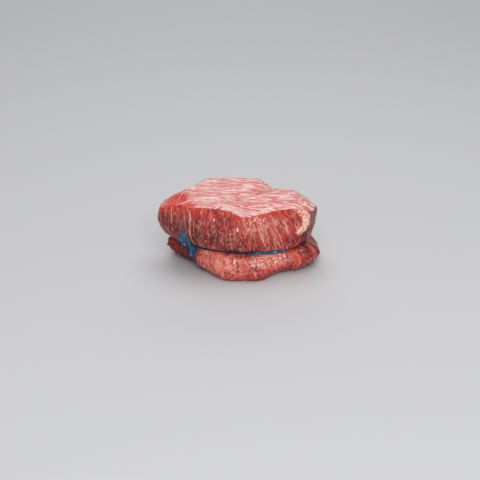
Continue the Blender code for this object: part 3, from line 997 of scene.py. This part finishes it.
def tint(tree, share, first, second):
    """The first colour, with a share of the second over it."""
    node = put(tree, "ShaderNodeMix", data_type="RGBA")
    feed(tree, node.inputs["Factor"], share)
    colours = [socket for socket in node.inputs if socket.type == "RGBA"]
    for socket, value in zip(colours, (first, second)):
        feed(tree, socket, value)
    return [socket for socket in node.outputs if socket.type == "RGBA"][0]


def times(tree, first, second):
    """The product of two values."""
    return maths(tree, "MULTIPLY", first, second)


def added_up(tree, base, *terms):
    """A base value, plus the product of each (value, share)."""
    total = base
    for value, share in terms:
        total = maths(tree, "MULTIPLY_ADD", value, share, total)
    return total


def fibre_group():
    """Node group: pale threads and their height along the fibres of a stretched vector."""
    group = bpy.data.node_groups.new("Fibres", "ShaderNodeTree")
    group.interface.new_socket("Vector", in_out="INPUT", socket_type="NodeSocketVector")
    pitch = group.interface.new_socket("Per mm", in_out="INPUT", socket_type="NodeSocketFloat")
    pitch.default_value = 1.0
    group.interface.new_socket("Tone", in_out="OUTPUT", socket_type="NodeSocketFloat")
    group.interface.new_socket("Threads", in_out="OUTPUT", socket_type="NodeSocketFloat")
    entry = put(group, "NodeGroupInput")
    leave = put(group, "NodeGroupOutput")
    coarse = put(group, "ShaderNodeTexNoise", scale=0.5, detail=3.0, roughness=0.6, distortion=0.4)
    fine = put(group, "ShaderNodeTexNoise", scale=1.6, detail=2.0, roughness=0.55, distortion=0.2)
    for node, share in ((coarse, 0.45), (fine, 1.1)):
        group.links.new(entry.outputs["Vector"], node.inputs["Vector"])
        group.links.new(maths(group, "MULTIPLY", entry.outputs["Per mm"], share), node.inputs["Scale"])
    tone = added_up(group, 0.0, (coarse.outputs["Fac"], 0.55), (fine.outputs["Fac"], 0.45))
    group.links.new(tone, leave.inputs["Tone"])
    threads = step_up(group, fine.outputs["Fac"], 0.56, 0.72)
    group.links.new(threads, leave.inputs["Threads"])
    return group


def use_group(tree, group, vector, per_mm):
    """The tone and the threads of a fibre group, at so many bumps a millimetre."""
    node = put(tree, "ShaderNodeGroup", node_tree=group)
    feed(tree, node.inputs["Vector"], vector)
    node.inputs["Per mm"].default_value = per_mm
    return node.outputs["Tone"], node.outputs["Threads"]


def wall_muscle(tree, look, at):
    """Muscle on the walls, from deep to pale, with a blush of raw red."""
    patches = named_noise(tree, "patches", at.place)
    ripples = maths(tree, "MULTIPLY_ADD", at.mottle, RIPPLES, RIPPLES_BASE)
    level = added_up(
        tree,
        WALL_LEVEL["base"],
        (at.tone, WALL_LEVEL["fibres"]),
        (at.mottle, WALL_LEVEL["mottle"]),
        (patches, WALL_LEVEL["patches"]),
        # The walls' zones carry painted light and shade as well as the muscle's own tone.
        (field(tree, "tone"), WALL_LEVEL["zones"]),
        (field(tree, "whorl"), ripples),
    )
    stops = ((0.0, look.deep), (0.3, look.dark), (0.62, look.lean), (1.0, look.pale))
    muscle = ramp(tree, level, stops)
    blush = step_up(tree, named_noise(tree, "blush", at.place), 0.46, 0.66)
    blush = times(tree, blush, COVER["blush"])
    blush = maths(tree, "MAXIMUM", blush, times(tree, field(tree, "red"), COVER["wet red"]))
    blush = times(tree, blush, step_up(tree, at.mottle, 0.2, 0.46))
    return tint(tree, blush, muscle, tuple(look.raw_red))


def wall_lines(tree, at):
    """Fine membranes between the bundles, broken into dashes, and curled at the front."""
    gate = step_up(tree, named_noise(tree, "gate", at.place), 0.36, 0.52)
    gate = times(tree, gate, step_up(tree, field(tree, "tone"), *MEMBRANE_TONES))
    long_lines = contour_lines(tree, scaled(tree, at.upright, (1.0, 1.0, 1.2)), *LINES["long"])
    curls = times(tree, contour_lines(tree, at.place, *LINES["curls"]), field(tree, "whorl"))
    dashes = step_up(tree, named_noise(tree, "dashes", at.upright), 0.36, 0.6)
    lines = times(tree, maths(tree, "MAXIMUM", long_lines, curls), gate)
    return times(tree, lines, dashes)


def wall_glints(tree, at):
    """Short wet glints, painted as highlights, that slant up to the right."""
    slant = put(
        tree,
        "ShaderNodeMapping",
        vector_type="TEXTURE",
        rotation=(0.0, math.radians(GLINT_LEAN), 0.0),
        scale=(1.0, 1.0, GLINT_STRETCH),
    )
    feed(tree, slant.inputs["Vector"], at.place)
    glints = step_up(tree, named_noise(tree, "glints", slant.outputs["Vector"]), 0.55, 0.62)
    return times(tree, glints, field(tree, "hatch"))


def wall_finish(tree, look, at):
    """The whole finish of the walls, without marbling and fat."""
    wall = wall_muscle(tree, look, at)
    gaps = contour_lines(tree, scaled(tree, at.upright, (1.1, 1.1, 1.0)), *LINES["gaps"])
    wall = tint(tree, times(tree, gaps, COVER["gaps"]), wall, tuple(look.dark))
    wall = tint(tree, times(tree, at.lines, COVER["lines"]), wall, tuple(look.membrane))
    shown = step_up(tree, field(tree, "tone"), *MEMBRANE_TONES, COVER["threads"])
    wall = tint(tree, times(tree, at.threads, shown), wall, tuple(look.membrane))
    # Painted highlights: the wet glints in the glint colour over the walls.
    return tint(tree, times(tree, wall_glints(tree, at), COVER["glints"]), wall, PAINTED_GLINT)


def cut_finish(tree, look, at):
    """The whole finish of the cut faces, without marbling: red strokes, pale strokes that are partly painted
    sheen, and threads and lines of painted sheen in the glint colour.
    """
    patches = named_noise(tree, "cut patches", scaled(tree, at.place, (0.6, 1.0, 1.0)))
    level = added_up(
        tree,
        CUT_LEVEL["base"],
        (at.cut_tone, CUT_LEVEL["fibres"]),
        (at.mottle, CUT_LEVEL["mottle"]),
        (patches, CUT_LEVEL["patches"]),
        (field(tree, "face_tone"), CUT_LEVEL["zones"]),
    )
    face = ramp(tree, level, ((0.0, look.cut_red), (0.35, look.cut_lean), (0.85, look.cut_pale_and_sheen)))
    red = times(tree, field(tree, "red"), step_up(tree, at.cut_tone, 0.8, 0.6))
    face = tint(tree, red, face, tuple(look.raw_red))
    # Thin lines and threads along the strokes, tinted to the glint colour: painted sheen, with less of it on
    # wet red.
    lines = contour_lines(tree, at.strokes, *LINES["cut"])
    lines = times(tree, lines, step_up(tree, patches, 0.36, 0.5, COVER["cut lines"]))
    painted_sheen = maths(tree, "MAXIMUM", times(tree, at.cut_threads, COVER["cut threads"]), lines)
    where = maths(tree, "MULTIPLY_ADD", field(tree, "red"), -0.8, 1.0)
    return tint(tree, times(tree, painted_sheen, where), face, PAINTED_GLINT)


def add_marbling(tree, look, at, colour):
    """Lays the pale streaks over a colour: fat marbling on the walls, and painted sheen on the cut face."""
    # Streaks of full strength, the flecks, whiten to the painted glint colour, and on the cut face every
    # streak takes it as painted sheen.
    streak_colour = tint(tree, step_up(tree, at.strength, 0.94, 1.0), tuple(look.fat), PAINTED_GLINT)
    streak_colour = tint(tree, at.cut, streak_colour, PAINTED_GLINT)
    return tint(tree, times(tree, at.streaks, COVER["streaks"]), colour, streak_colour)


def add_skin_and_fat(tree, look, at, colour):
    """Lays the silverskin with its pale lines of painted sheen, and the fat patch with its red rind, over a
    colour.
    """
    edge = maths(tree, "MULTIPLY_ADD", at.ragged, 0.5, field(tree, "silverskin"))
    # The silverskin's pale lines are painted sheen.
    lines = step_up(tree, named_noise(tree, "sheen", at.upright), 0.46, 0.66, COVER["skin lines"])
    skin_colour = tint(tree, lines, tuple(look.skin), SKIN_SHEEN)
    colour = tint(tree, step_up(tree, edge, 0.44, 0.66, COVER["skin"]), colour, skin_colour)
    edge = maths(tree, "MULTIPLY_ADD", at.ragged, 0.7, field(tree, "fat"))
    colour = tint(tree, step_up(tree, edge, 0.3, 0.46, COVER["rind"]), colour, tuple(look.raw_red))
    fat_colour = tint(tree, step_up(tree, at.mottle, 0.4, 0.58), FAT_SHADE, FAT_LIGHT)
    return tint(tree, step_up(tree, edge, 0.43, 0.56, COVER["fat"]), colour, fat_colour)


def surface_height(tree, at):
    """Height of the fine bump, in mm."""
    wall = added_up(tree, 0.0, (at.tone, BUMP["fibres"]), (at.mottle, BUMP["mottle"]))
    wall = added_up(tree, wall, (at.lines, BUMP["lines"]))
    face = added_up(tree, 0.0, (at.cut_tone, BUMP["cut fibres"]), (at.mottle, BUMP["cut mottle"]))
    mix = put(tree, "ShaderNodeMix", data_type="FLOAT")
    feed(tree, mix.inputs[0], at.cut)
    feed(tree, mix.inputs[2], wall)
    feed(tree, mix.inputs[3], face)
    return added_up(tree, mix.outputs[0], (at.streaks, BUMP["streaks"]))


def meat_patterns(tree):
    """The places, masks and patterns that the parts of the meat's finish share."""
    at = SimpleNamespace()
    object_place = put(tree, "ShaderNodeTexCoord").outputs["Object"]
    at.place = scaled(tree, object_place, (1.0 / MM, 1.0 / MM, 1.0 / MM))
    at.upright = field(tree, "upright", "Vector")
    at.strokes = field(tree, "strokes", "Vector")
    at.mottle = named_noise(tree, "mottle", at.place)
    at.ragged = maths(tree, "MULTIPLY_ADD", named_noise(tree, "ragged", at.place), 0.8, -0.4)
    cut = field(tree, "cut")
    off_rim = maths(tree, "ABSOLUTE", maths(tree, "MULTIPLY_ADD", cut, 2.0, -1.0))
    frayed = times(tree, at.ragged, maths(tree, "MULTIPLY_ADD", off_rim, -3.2, 3.2))
    at.cut = step_up(tree, maths(tree, "ADD", frayed, cut), 0.35, 0.65)
    fibres = fibre_group()
    at.tone, at.threads = use_group(tree, fibres, at.upright, WALL_FIBRES)
    at.cut_tone, at.cut_threads = use_group(tree, fibres, at.strokes, CUT_FIBRES)
    at.lines = wall_lines(tree, at)
    at.strength = field(tree, "streak_strength")
    edge = maths(tree, "MULTIPLY_ADD", at.ragged, 0.6, field(tree, "streak"))
    at.streaks = times(tree, step_up(tree, edge, 0.42, 0.58), at.strength)
    return at


def meat_material(look):
    """Raw beef: fibres on the walls, strokes on the cut faces, marbling, fat and silverskin."""
    material = bpy.data.materials.new("raw_beef")
    material.use_nodes = True
    tree = material.node_tree
    shader = tree.nodes["Principled BSDF"]
    at = meat_patterns(tree)
    colour = tint(tree, at.cut, wall_finish(tree, look, at), cut_finish(tree, look, at))
    colour = add_marbling(tree, look, at, colour)
    colour = add_skin_and_fat(tree, look, at, colour)
    bump = put(tree, "ShaderNodeBump", strength=0.9, distance=MM)
    feed(tree, bump.inputs["Height"], surface_height(tree, at))

    red = field(tree, "red")
    gloss = step_up(tree, named_noise(tree, "gloss", at.place), 0.35, 0.7, 0.24)
    roughness = maths(tree, "MULTIPLY_ADD", red, 0.2, maths(tree, "SUBTRACT", 0.5, gloss))
    feed(tree, shader.inputs["Base Color"], colour)
    feed(tree, shader.inputs["Roughness"], roughness)
    feed(tree, shader.inputs["Coat Weight"], maths(tree, "MULTIPLY_ADD", red, -0.2, 0.22))
    feed(tree, shader.inputs["Normal"], bump.outputs["Normal"])
    shader.inputs["IOR"].default_value = 1.42
    shader.inputs["Subsurface Weight"].default_value = 0.1
    shader.inputs["Subsurface Radius"].default_value = (1.0, 0.3, 0.2)
    shader.inputs["Subsurface Scale"].default_value = 0.6 * MM
    shader.inputs["Coat Roughness"].default_value = 0.2
    return material


class STEAK_OT_meat(bpy.types.Operator):
    """Make the marbled raw meat in place of its plain solid"""

    bl_idname = "steak.add_meat"
    bl_label = "Add meat"

    def execute(self, context):
        look = context.scene.steak_meat
        meat = meat_object(look)
        meat.data.materials.append(meat_material(look))
        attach(meat, "root")
        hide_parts("steak")
        return {"FINISHED"}


# String

PLIES = 3
PLY_RADIUS = 0.34
PLY_OFFSET = 0.33
TWIST_PITCH = 3.6
STRING_STEP = 0.3
PLY_SIDES = 8
LOOP_STEPS = 120
EAR_STEPS = 6
# The knot's winding: how many points it has, and its half width, depth and height.
KNOT_POINTS = 60
KNOT_SIZE = (1.3, 0.66, 1.25)
# The cotton's fibres: how many round a ply, and how many a millimetre along it. Pale spots of painted
# highlight come at so many a millimetre.
HAIRS_ROUND = 9.0
HAIRS_ALONG = 0.9
HIGHLIGHT_SPOTS_ALONG = 0.35
# Painted shade on the string at the front left, in the crease under the upper lobe: it lies between these
# two x, its ends fade over so many mm, and it leans towards a dark blue by so much.
SHADED_PART = (-24.5, 7.0)
SHADED_FADES = (2.5, 5.0)
SHADED_STRENGTH = 0.75
SHADED_BLUE = display(0, 40, 64)
# The pale blue of the painted highlight spots.
HIGHLIGHT_BLUE = display(150, 222, 245)


class StringSettings(bpy.types.PropertyGroup):
    """The string's colours"""

    # The shadow blue is painted shade in the grooves between the plies and the fibres.
    shadow_blue: colour_setting("Shadow blue", "The string between its fibres", display(0, 26, 54))
    blue: colour_setting("Blue", "The string's dyed cotton", display(0, 138, 192))


def through(points, steps):
    """A Catmull-Rom curve through points, with so many steps along each stretch."""
    held = [points[0] * 2.0 - points[1], *points, points[-1] * 2.0 - points[-2]]
    curve = []
    for a, b, c, d in zip(held, held[1:], held[2:], held[3:]):
        for k in range(steps):
            t = k / steps
            bend = (a * 2.0 - b * 5.0 + c * 4.0 - d) * t * t
            bend += (b * 3.0 - a - c * 3.0 + d) * t * t * t
            curve.append(0.5 * (b * 2.0 + (c - a) * t + bend))
    curve.append(points[-1].copy())
    return curve


def loop_point(angle):
    """The string's middle line at an angle in degrees."""
    turn = math.radians(angle)
    reach = loop_reach(angle)
    height = float(waist_height(angle))
    return AXIS + Vector((reach * math.cos(turn), reach * math.sin(turn), height))


def knot_middle():
    """The knot's middle, a little outside the loop."""
    turn = math.radians(KNOT_ANGLE)
    return loop_point(KNOT_ANGLE) + Vector((math.cos(turn), math.sin(turn), 0.0)) * KNOT_OUT


def knot_route():
    """The string's crossings in the knot, as a small closed winding."""
    middle = knot_middle()
    route = []
    for k in range(KNOT_POINTS):
        t = math.tau * k / (KNOT_POINTS - 1)
        across = (math.sin(t) + 2.0 * math.sin(2.0 * t)) / 3.0
        up = (math.cos(t) - 2.0 * math.cos(2.0 * t)) / 3.0
        deep = -math.sin(3.0 * t)
        offset = Vector((across * KNOT_SIZE[0], deep * KNOT_SIZE[1], up * KNOT_SIZE[2]))
        route.append(middle + offset)
    return route


def even_route(points, step):
    """The same route with its points an even step apart."""
    lengths = [0.0]
    for a, b in zip(points, points[1:]):
        lengths.append(lengths[-1] + (b - a).length)
    count = max(2, round(lengths[-1] / step))
    wanted = np.linspace(0.0, lengths[-1], count + 1)
    columns = [np.interp(wanted, lengths, [point[k] for point in points]) for k in range(3)]
    return [Vector(row) for row in zip(*columns)]


def lay_plies(shape, points, uv_layer):
    """Adds the twisted plies along a route to a bmesh, with u round a ply and v along it."""
    points = even_route(points, STRING_STEP)
    tangents = []
    for k in range(len(points)):
        ahead = points[min(k + 1, len(points) - 1)] - points[max(k - 1, 0)]
        tangents.append(ahead.normalized())
    side = tangents[0].orthogonal().normalized()
    sides = []
    for tangent in tangents:
        side = (side - tangent * side.dot(tangent)).normalized()
        sides.append(side.copy())
    lean = math.atan(math.tau * PLY_OFFSET / TWIST_PITCH)
    for ply in range(PLIES):
        rings = []
        for k, (point, tangent, side) in enumerate(zip(points, tangents, sides)):
            other = tangent.cross(side)
            turn = math.tau * (k * STRING_STEP / TWIST_PITCH + ply / PLIES)
            out = side * math.cos(turn) + other * math.sin(turn)
            round_out = tangent.cross(out)
            middle = point + out * PLY_OFFSET
            wide = round_out * math.cos(lean) - tangent * math.sin(lean)
            ring = []
            for s in range(PLY_SIDES):
                spot = math.tau * s / PLY_SIDES
                edge = middle + (out * math.cos(spot) + wide * math.sin(spot)) * PLY_RADIUS
                ring.append(shape.verts.new(edge * MM))
            rings.append(ring)
        for k, (lower, upper) in enumerate(zip(rings, rings[1:])):
            for s in range(PLY_SIDES):
                n = (s + 1) % PLY_SIDES
                face = shape.faces.new((lower[s], lower[n], upper[n], upper[s]))
                corners = ((s, k), (s + 1, k), (s + 1, k + 1), (s, k + 1))
                for corner, (u, v) in zip(face.loops, corners):
                    corner[uv_layer].uv = (u / PLY_SIDES, v * STRING_STEP)
        shape.faces.new(list(reversed(rings[0])))
        shape.faces.new(rings[-1])


def string_object():
    """The loop round the waist, the knot and both ears of the bow, as twisted plies."""
    middle = knot_middle()
    loop = [loop_point(KNOT_ANGLE + 360.0 * k / LOOP_STEPS) for k in range(LOOP_STEPS + 1)]
    shape = bmesh.new()
    uv_layer = shape.loops.layers.uv.new("along")
    routes = [loop, knot_route()]
    for offsets in (UPPER_EAR, LOWER_EAR):
        routes.append(through([middle + Vector(offset) for offset in offsets], EAR_STEPS))
    for route in routes:
        lay_plies(shape, route, uv_layer)
    bmesh.ops.recalc_face_normals(shape, faces=shape.faces)
    mesh = bpy.data.meshes.new("twisted_string")
    shape.to_mesh(mesh)
    shape.free()
    obj = bpy.data.objects.new("twisted_string", mesh)
    bpy.context.scene.collection.objects.link(obj)
    make_active(obj)
    bpy.ops.object.shade_smooth()
    return obj


def string_material(look):
    """Dyed cotton: fine fibres that run along each ply, with a painted highlight on its crest, painted shade
    between the plies and pale spots of painted highlight, and painted shade at the front left, where the
    blue is darker."""
    material = bpy.data.materials.new("blue_cotton")
    material.use_nodes = True
    tree = material.node_tree
    shader = tree.nodes["Principled BSDF"]
    along = put(tree, "ShaderNodeUVMap", uv_map="along").outputs["UV"]
    hairs = clouds(tree, scaled(tree, along, (HAIRS_ROUND, HAIRS_ALONG, 1.0)), 1.0)
    highlight_spots = clouds(tree, scaled(tree, along, (0.0, HIGHLIGHT_SPOTS_ALONG, 1.0)), 1.0)
    split = put(tree, "ShaderNodeSeparateXYZ")
    feed(tree, split.inputs["Vector"], along)
    crest = maths(tree, "ABSOLUTE", maths(tree, "MULTIPLY_ADD", split.outputs["X"], 2.0, -1.0))
    # Painted highlight on each ply's crest, with painted shade in the grooves between the plies and between
    # the fibres.
    lit = times(tree, step_up(tree, crest, 0.45, 0.95), step_up(tree, hairs, 0.25, 0.5))
    colour = tint(tree, lit, tuple(look.shadow_blue), tuple(look.blue))
    # Pale spots of painted highlight on the lit crests.
    pale = times(tree, step_up(tree, highlight_spots, 0.5, 0.66, 0.85), lit)
    colour = tint(tree, pale, colour, HIGHLIGHT_BLUE)
    # Painted shade on the front-left part of the string, in the crease under the upper lobe.
    object_place = put(tree, "ShaderNodeTexCoord").outputs["Object"]
    place = scaled(tree, object_place, (1.0 / MM, 1.0 / MM, 1.0 / MM))
    across = put(tree, "ShaderNodeSeparateXYZ")
    feed(tree, across.inputs["Vector"], place)
    ends = []
    for x, fade in zip(SHADED_PART, SHADED_FADES):
        ends.append(step_up(tree, across.outputs["X"], x - fade, x + fade))
    shaded = times(tree, maths(tree, "SUBTRACT", *ends), SHADED_STRENGTH)
    colour = tint(tree, shaded, colour, SHADED_BLUE)
    bump = put(tree, "ShaderNodeBump", strength=0.6, distance=0.06 * MM)
    feed(tree, bump.inputs["Height"], hairs)
    feed(tree, shader.inputs["Base Color"], colour)
    feed(tree, shader.inputs["Normal"], bump.outputs["Normal"])
    shader.inputs["Roughness"].default_value = 0.6
    shader.inputs["Specular IOR Level"].default_value = 0.3
    return material


class STEAK_OT_string(bpy.types.Operator):
    """Make the twisted string, its knot and its bow in place of their plain solid"""

    bl_idname = "steak.add_string"
    bl_label = "Add string"

    def execute(self, context):
        string = string_object()
        string.data.materials.append(string_material(context.scene.steak_string))
        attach(string, "root")
        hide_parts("string")
        return {"FINISHED"}


# Stage

CAMERA_TILT = 21.8
CAMERA_PLACE = (0.000457, -0.571112, 0.2407)
CAMERA_LENS = 85.05
SENSOR_WIDTH = 36.0
CLIP_START = 0.01
FLOOR_SIZE = 8.0
FLOOR_DROP = 0.00005
AIM = Vector((0.0, 0.0, 0.02))
ROOM_COLOUR = (0.95, 0.97, 1.0, 1.0)
# Each softbox in metres: its place, its width and height, and the setting for its power.
SOFTBOXES = {
    "softbox_top": ((0.05, 0.15, 0.85), (0.9, 0.7), "top_light"),
    "softbox_back": ((0.0, 1.2, 0.55), (1.5, 0.6), "back_light"),
    "softbox_front": ((0.05, -0.8, 0.6), (0.6, 0.5), "front_light"),
}


def power_setting(name, description, default):
    """A light's power, which the user can change."""
    return bpy.props.FloatProperty(
        name=name, description=description, default=default, min=0.0, unit="POWER"
    )


class StageSettings(bpy.types.PropertyGroup):
    """The floor's colour and the lights' powers"""

    floor: colour_setting("Floor", "The plain pale floor", (0.6, 0.6, 0.61, 1.0))
    top_light: power_setting("Top light", "Power of the softbox overhead", 3.9)
    back_light: power_setting("Back light", "Power of the softbox behind", 4.0)
    front_light: power_setting("Front light", "Power of the softbox at the front", 6.0)
    sky: bpy.props.FloatProperty(
        name="Room light", description="Strength of the light from all round", default=0.2, min=0.0
    )


def softbox(name, place, size, power):
    """A rectangular light that faces the steak."""
    deselect_all()
    bpy.ops.object.light_add(type="AREA", location=place)
    light = bpy.context.object
    light.name = name
    light.data.shape = "RECTANGLE"
    light.data.size, light.data.size_y = size
    light.data.energy = power
    light.visible_camera = False
    light.rotation_euler = (AIM - Vector(place)).to_track_quat("-Z", "Y").to_euler()
    return light


class STEAK_OT_stage(bpy.types.Operator):
    """Lay the pale floor and set up the softboxes and the camera"""

    bl_idname = "steak.add_stage"
    bl_label = "Add stage"

    def execute(self, context):
        look = context.scene.steak_stage
        deselect_all()
        bpy.ops.mesh.primitive_plane_add(size=FLOOR_SIZE, location=(0.0, 0.0, -FLOOR_DROP))
        floor = context.object
        floor.name = "floor"
        material = bpy.data.materials.new("pale_floor")
        material.use_nodes = True
        shader = material.node_tree.nodes["Principled BSDF"]
        shader.inputs["Base Color"].default_value = tuple(look.floor)
        shader.inputs["Roughness"].default_value = 0.8
        shader.inputs["Specular IOR Level"].default_value = 0.2
        floor.data.materials.append(material)

        for name, (place, size, power) in SOFTBOXES.items():
            softbox(name, place, size, getattr(look, power))
        world = bpy.data.worlds.new("studio")
        world.use_nodes = True
        background = world.node_tree.nodes["Background"]
        background.inputs["Color"].default_value = ROOM_COLOUR
        background.inputs["Strength"].default_value = look.sky
        context.scene.world = world

        tilt = math.radians(90.0 - CAMERA_TILT)
        bpy.ops.object.camera_add(location=CAMERA_PLACE, rotation=(tilt, 0.0, 0.0))
        camera = context.object
        camera.data.lens = CAMERA_LENS
        camera.data.sensor_width = SENSOR_WIDTH
        camera.data.clip_start = CLIP_START
        context.scene.camera = camera
        context.scene.view_settings.view_transform = "Standard"
        return {"FINISHED"}


class STEAK_PT_panel(bpy.types.Panel):
    """The steak's settings and operators"""

    bl_label = "Tied steak"
    bl_idname = "STEAK_PT_panel"
    bl_space_type = "VIEW_3D"
    bl_region_type = "UI"
    bl_category = "Steak"

    def draw(self, context):
        for settings, operator in ADD_ORDER:
            box = self.layout.box()
            look = getattr(context.scene, settings)
            for name in look.__annotations__:
                box.prop(look, name)
            box.operator(operator)


ADD_ORDER = (
    ("steak_meat", "steak.add_meat"),
    ("steak_string", "steak.add_string"),
    ("steak_stage", "steak.add_stage"),
)
SETTINGS = {
    "steak_meat": MeatSettings,
    "steak_string": StringSettings,
    "steak_stage": StageSettings,
}
CLASSES = (
    MeatSettings,
    StringSettings,
    StageSettings,
    STEAK_OT_meat,
    STEAK_OT_string,
    STEAK_OT_stage,
    STEAK_PT_panel,
)


def register():
    """Adds the classes, and a place for their settings in each scene."""
    for kind in CLASSES:
        bpy.utils.register_class(kind)
    for name, kind in SETTINGS.items():
        setattr(bpy.types.Scene, name, bpy.props.PointerProperty(type=kind))


def unregister():
    """Takes the settings and the classes away again."""
    for name in SETTINGS:
        delattr(bpy.types.Scene, name)
    for kind in reversed(CLASSES):
        bpy.utils.unregister_class(kind)


def main():
    """Makes the meat, the string and the stage in turn."""
    register()
    bpy.ops.steak.add_meat()
    bpy.ops.steak.add_string()
    bpy.ops.steak.add_stage()


if __name__ == "__main__":
    main()
